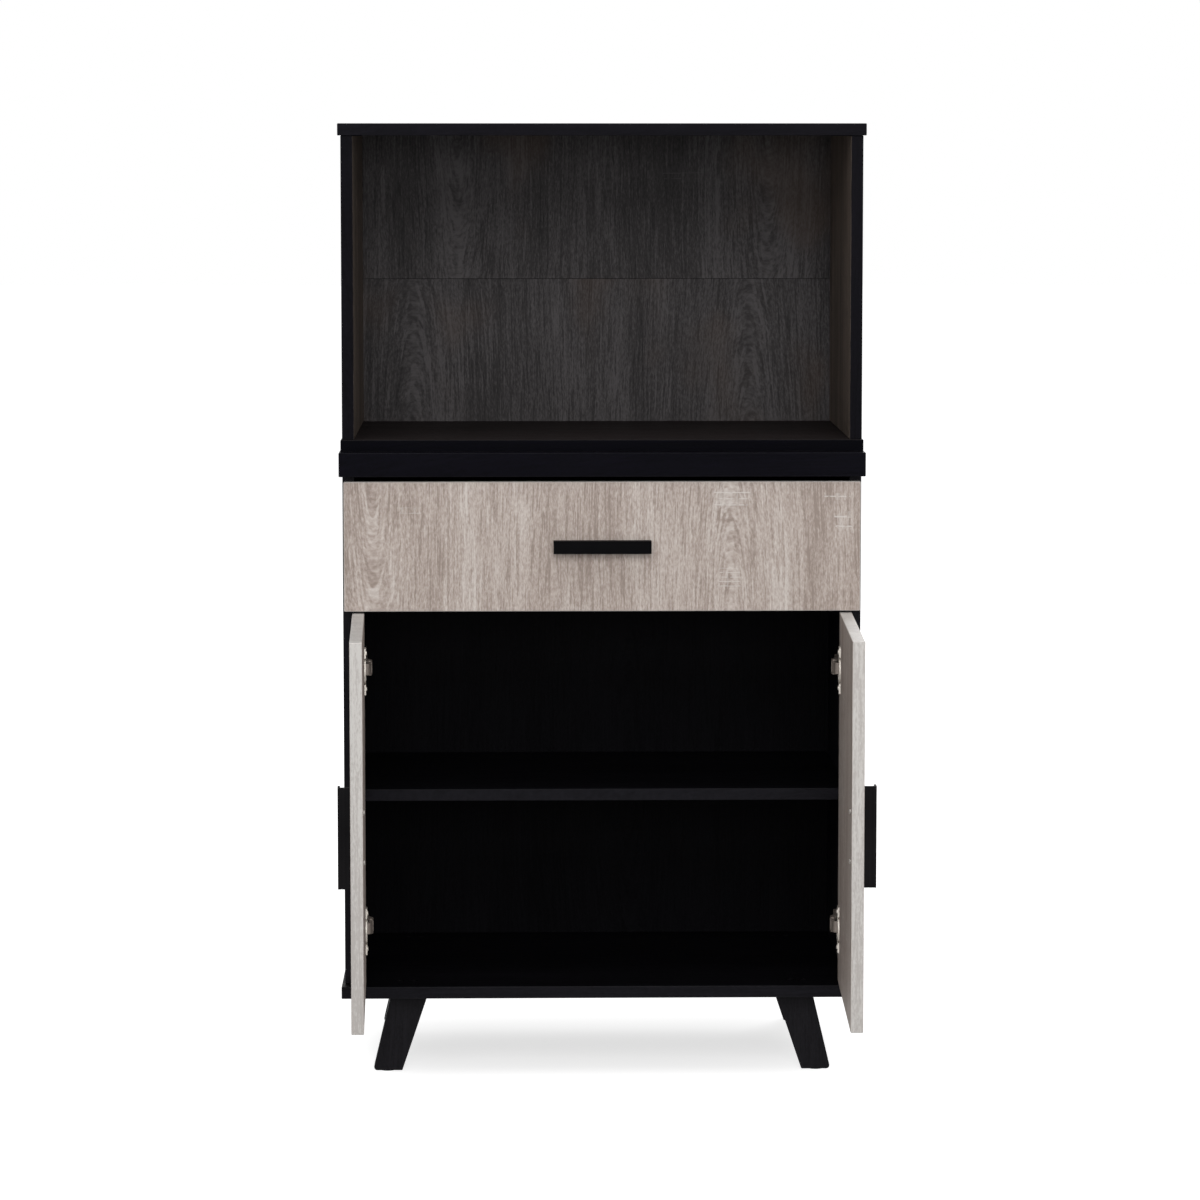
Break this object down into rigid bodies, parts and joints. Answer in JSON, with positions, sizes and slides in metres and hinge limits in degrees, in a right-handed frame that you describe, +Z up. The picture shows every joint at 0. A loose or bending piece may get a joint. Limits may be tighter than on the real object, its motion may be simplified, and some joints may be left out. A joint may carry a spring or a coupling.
{
  "type": "microwave stand",
  "caption": "Free-standing kitchen microwave stand: open hutch over a cabinet with a full-width drawer, overlay doors on concealed hinges, an inner shelf and splayed legs.",
  "frame": {"origin": "on the floor, under the middle of the stand's box as it stands at rest with both doors open", "axes": "+Z up, -Y towards the user in front, +X to the user's right"},
  "size_m": [0.7, 0.7274, 1.274],
  "materials": {
    "black_board": "satin black wood-grain melamine on particle board",
    "dark_back": "dark brown-black wood-grain back with upright grain",
    "base_back": "black faced hardboard",
    "oak_board": "pale grey-beige sawn-oak melamine with upright grain",
    "black_leg": "satin black lacquered wood",
    "black_handle": "matt black",
    "nickel": "nickel-plated pressed steel",
    "zinc_steel": "zinc-plated rolled steel",
    "glide_plastic": "moulded plastic"
  },
  "bodies": {
    "carcass": {"base_board": "black_board", "base_side_left": "black_board", "base_side_right": "black_board", "base_back": "base_back", "drawer_rail": "black_board", "counter": "black_board", "shelf": "black_board", "shelf_pins": "nickel", "hutch_floor": "black_board", "hutch_side_left": "black_board", "hutch_side_right": "black_board", "hutch_back_lower": "dark_back", "hutch_back_upper": "dark_back", "hutch_back_tape": "glide_plastic", "hutch_top": "black_board", "leg_front_left": "black_leg", "leg_front_right": "black_leg", "leg_rear_left": "black_leg", "leg_rear_right": "black_leg", "leg_screws": "black_handle", "leg_glides": "glide_plastic", "hinge_plates_left": "nickel", "hinge_arms_left": "nickel", "hinge_arm_pins_left": "nickel", "hinge_plate_screws_left": "nickel", "hinge_arm_screws_left": "nickel", "runner_outer_left": "zinc_steel", "hinge_plates_right": "nickel", "hinge_arms_right": "nickel", "hinge_arm_pins_right": "nickel", "hinge_plate_screws_right": "nickel", "hinge_arm_screws_right": "nickel", "runner_outer_right": "zinc_steel"},
    "drawer": {"drawer_front": "oak_board", "drawer_side_left": "black_board", "drawer_side_right": "black_board", "drawer_back": "black_board", "drawer_bottom": "black_board", "drawer_handle": "black_handle", "drawer_handle_screws": "zinc_steel", "runner_inner_left": "zinc_steel", "runner_inner_right": "zinc_steel"},
    "runner_middles": {"runner_middle_left": "zinc_steel", "runner_middle_right": "zinc_steel"},
    "left_links": {"hinge_links_left": "nickel"},
    "left_door": {"door_left": "oak_board", "hinge_cups_left": "nickel", "hinge_cup_pins_left": "nickel", "hinge_cup_screws_left": "nickel", "door_handle_left": "black_handle", "door_handle_screws_left": "zinc_steel"},
    "right_links": {"hinge_links_right": "nickel"},
    "right_door": {"door_right": "oak_board", "hinge_cups_right": "nickel", "hinge_cup_pins_right": "nickel", "hinge_cup_screws_right": "nickel", "door_handle_right": "black_handle", "door_handle_screws_right": "zinc_steel"}
  },
  "joints": [
    {"name": "drawer_slide", "type": "slide", "parent": "carcass", "child": "drawer", "axis": [0, -1, 0], "range_m": [0, 0.32]},
    {"name": "runner_middle_slide", "type": "slide", "parent": "carcass", "child": "runner_middles", "axis": [0, -1, 0], "range_m": [0, 0.16]},
    {"name": "left_link_swing", "type": "hinge", "parent": "carcass", "child": "left_links", "pos_m": [-0.312, -0.01182, 0.374], "axis": [0, 0, 1], "range_deg": [-34.47, 2.97]},
    {"name": "left_door_swing", "type": "hinge", "parent": "left_links", "child": "left_door", "pos_m": [-0.32172, -0.03302, 0.374], "axis": [0, 0, -1], "range_deg": [-122.92, 10.42]},
    {"name": "right_link_swing", "type": "hinge", "parent": "carcass", "child": "right_links", "pos_m": [0.312, -0.01182, 0.374], "axis": [0, 0, -1], "range_deg": [-34.47, 2.97]},
    {"name": "right_door_swing", "type": "hinge", "parent": "right_links", "child": "right_door", "pos_m": [0.32172, -0.03302, 0.374], "axis": [0, 0, 1], "range_deg": [-122.92, 10.42]}
  ],
  "couplings": [
    {"joint": "runner_middle_slide", "follows": "drawer_slide", "ratio": 0.5},
    {"joint": "left_link_swing", "follows": "left_door_swing", "ratio": 0.28},
    {"joint": "right_link_swing", "follows": "right_door_swing", "ratio": 0.28}
  ]
}
